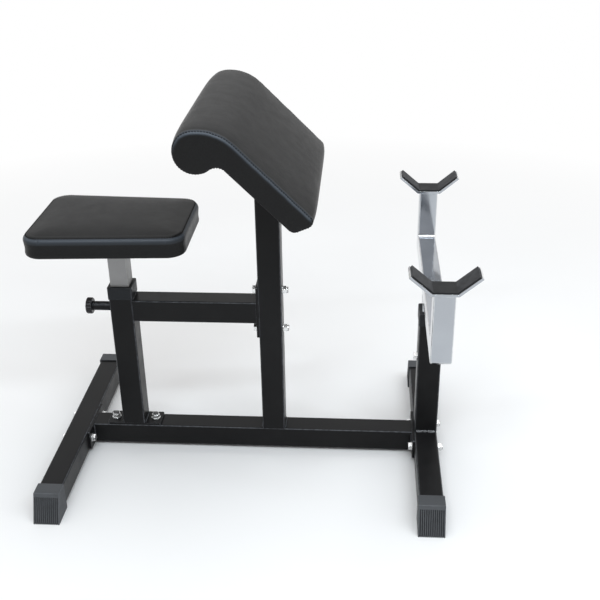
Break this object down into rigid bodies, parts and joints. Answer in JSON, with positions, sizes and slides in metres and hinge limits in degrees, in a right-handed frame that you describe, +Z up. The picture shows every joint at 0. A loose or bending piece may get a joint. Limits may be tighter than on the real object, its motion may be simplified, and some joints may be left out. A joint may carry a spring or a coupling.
{
  "type": "preacher curl bench",
  "caption": "Preacher curl bench: black square-tube frame, height-adjustable padded seat, sloping arm pad with a rolled top edge, and a chrome yoke with V-shaped cradles for a bar.",
  "frame": {"origin": "centre of the overall bounding box, on the floor", "axes": "+X along the bench from the seat to the bar rest, +Y to the seated user's left, +Z up"},
  "size_m": [0.892, 0.618, 0.8154],
  "materials": {
    "frame_black": "satin black powder coat",
    "foot_plastic": "dark grey moulded plastic",
    "collar_plastic": "black moulded plastic",
    "zinc": "bright zinc plate",
    "seat_tube_steel": "silver-grey satin",
    "knob_plastic": "black, ribbed rim",
    "vinyl": "dark grey-black vinyl with a soft sheen",
    "board_wood": "raw plywood",
    "chrome": "polished",
    "liner_rubber": "matt black"
  },
  "bodies": {
    "frame": {"rear_base_tube": "frame_black", "front_base_tube": "frame_black", "main_beam": "frame_black", "beam_rear_plate": "frame_black", "beam_front_plate": "frame_black", "seat_post": "frame_black", "seat_post_plate": "frame_black", "crossbar": "frame_black", "crossbar_plate": "frame_black", "mid_post": "frame_black", "front_post": "frame_black", "pad_bracket": "frame_black", "pin_barrel": "frame_black", "rear_left_foot": "foot_plastic", "rear_right_foot": "foot_plastic", "front_left_foot": "foot_plastic", "front_right_foot": "foot_plastic", "seat_collar": "collar_plastic", "yoke_collar": "collar_plastic", "frame_bolts": "zinc", "foot_bolts": "zinc", "frame_washers": "zinc", "lock_nuts": "zinc", "arm_screws": "zinc", "arm_cushion": "vinyl", "arm_board": "board_wood", "yoke_stem": "chrome", "yoke_tube": "chrome", "left_cradle": "chrome", "right_cradle": "chrome", "left_liner": "liner_rubber", "right_liner": "liner_rubber"},
    "seat": {"seat_tube": "seat_tube_steel", "seat_plate": "frame_black", "seat_screws": "zinc", "seat_board": "board_wood", "seat_cushion": "vinyl"},
    "pin": {"pin_plunger": "zinc", "pin_knob": "knob_plastic"}
  },
  "joints": [
    {"name": "seat_height", "type": "slide", "parent": "frame", "child": "seat", "axis": [0, 0, 1], "range_m": [-0.075, 0.075]},
    {"name": "pin_pull", "type": "slide", "parent": "frame", "child": "pin", "axis": [-1, 0, 0], "range_m": [0, 0.012], "stiffness_N_per_m": 800, "springref_m": -0.005}
  ]
}
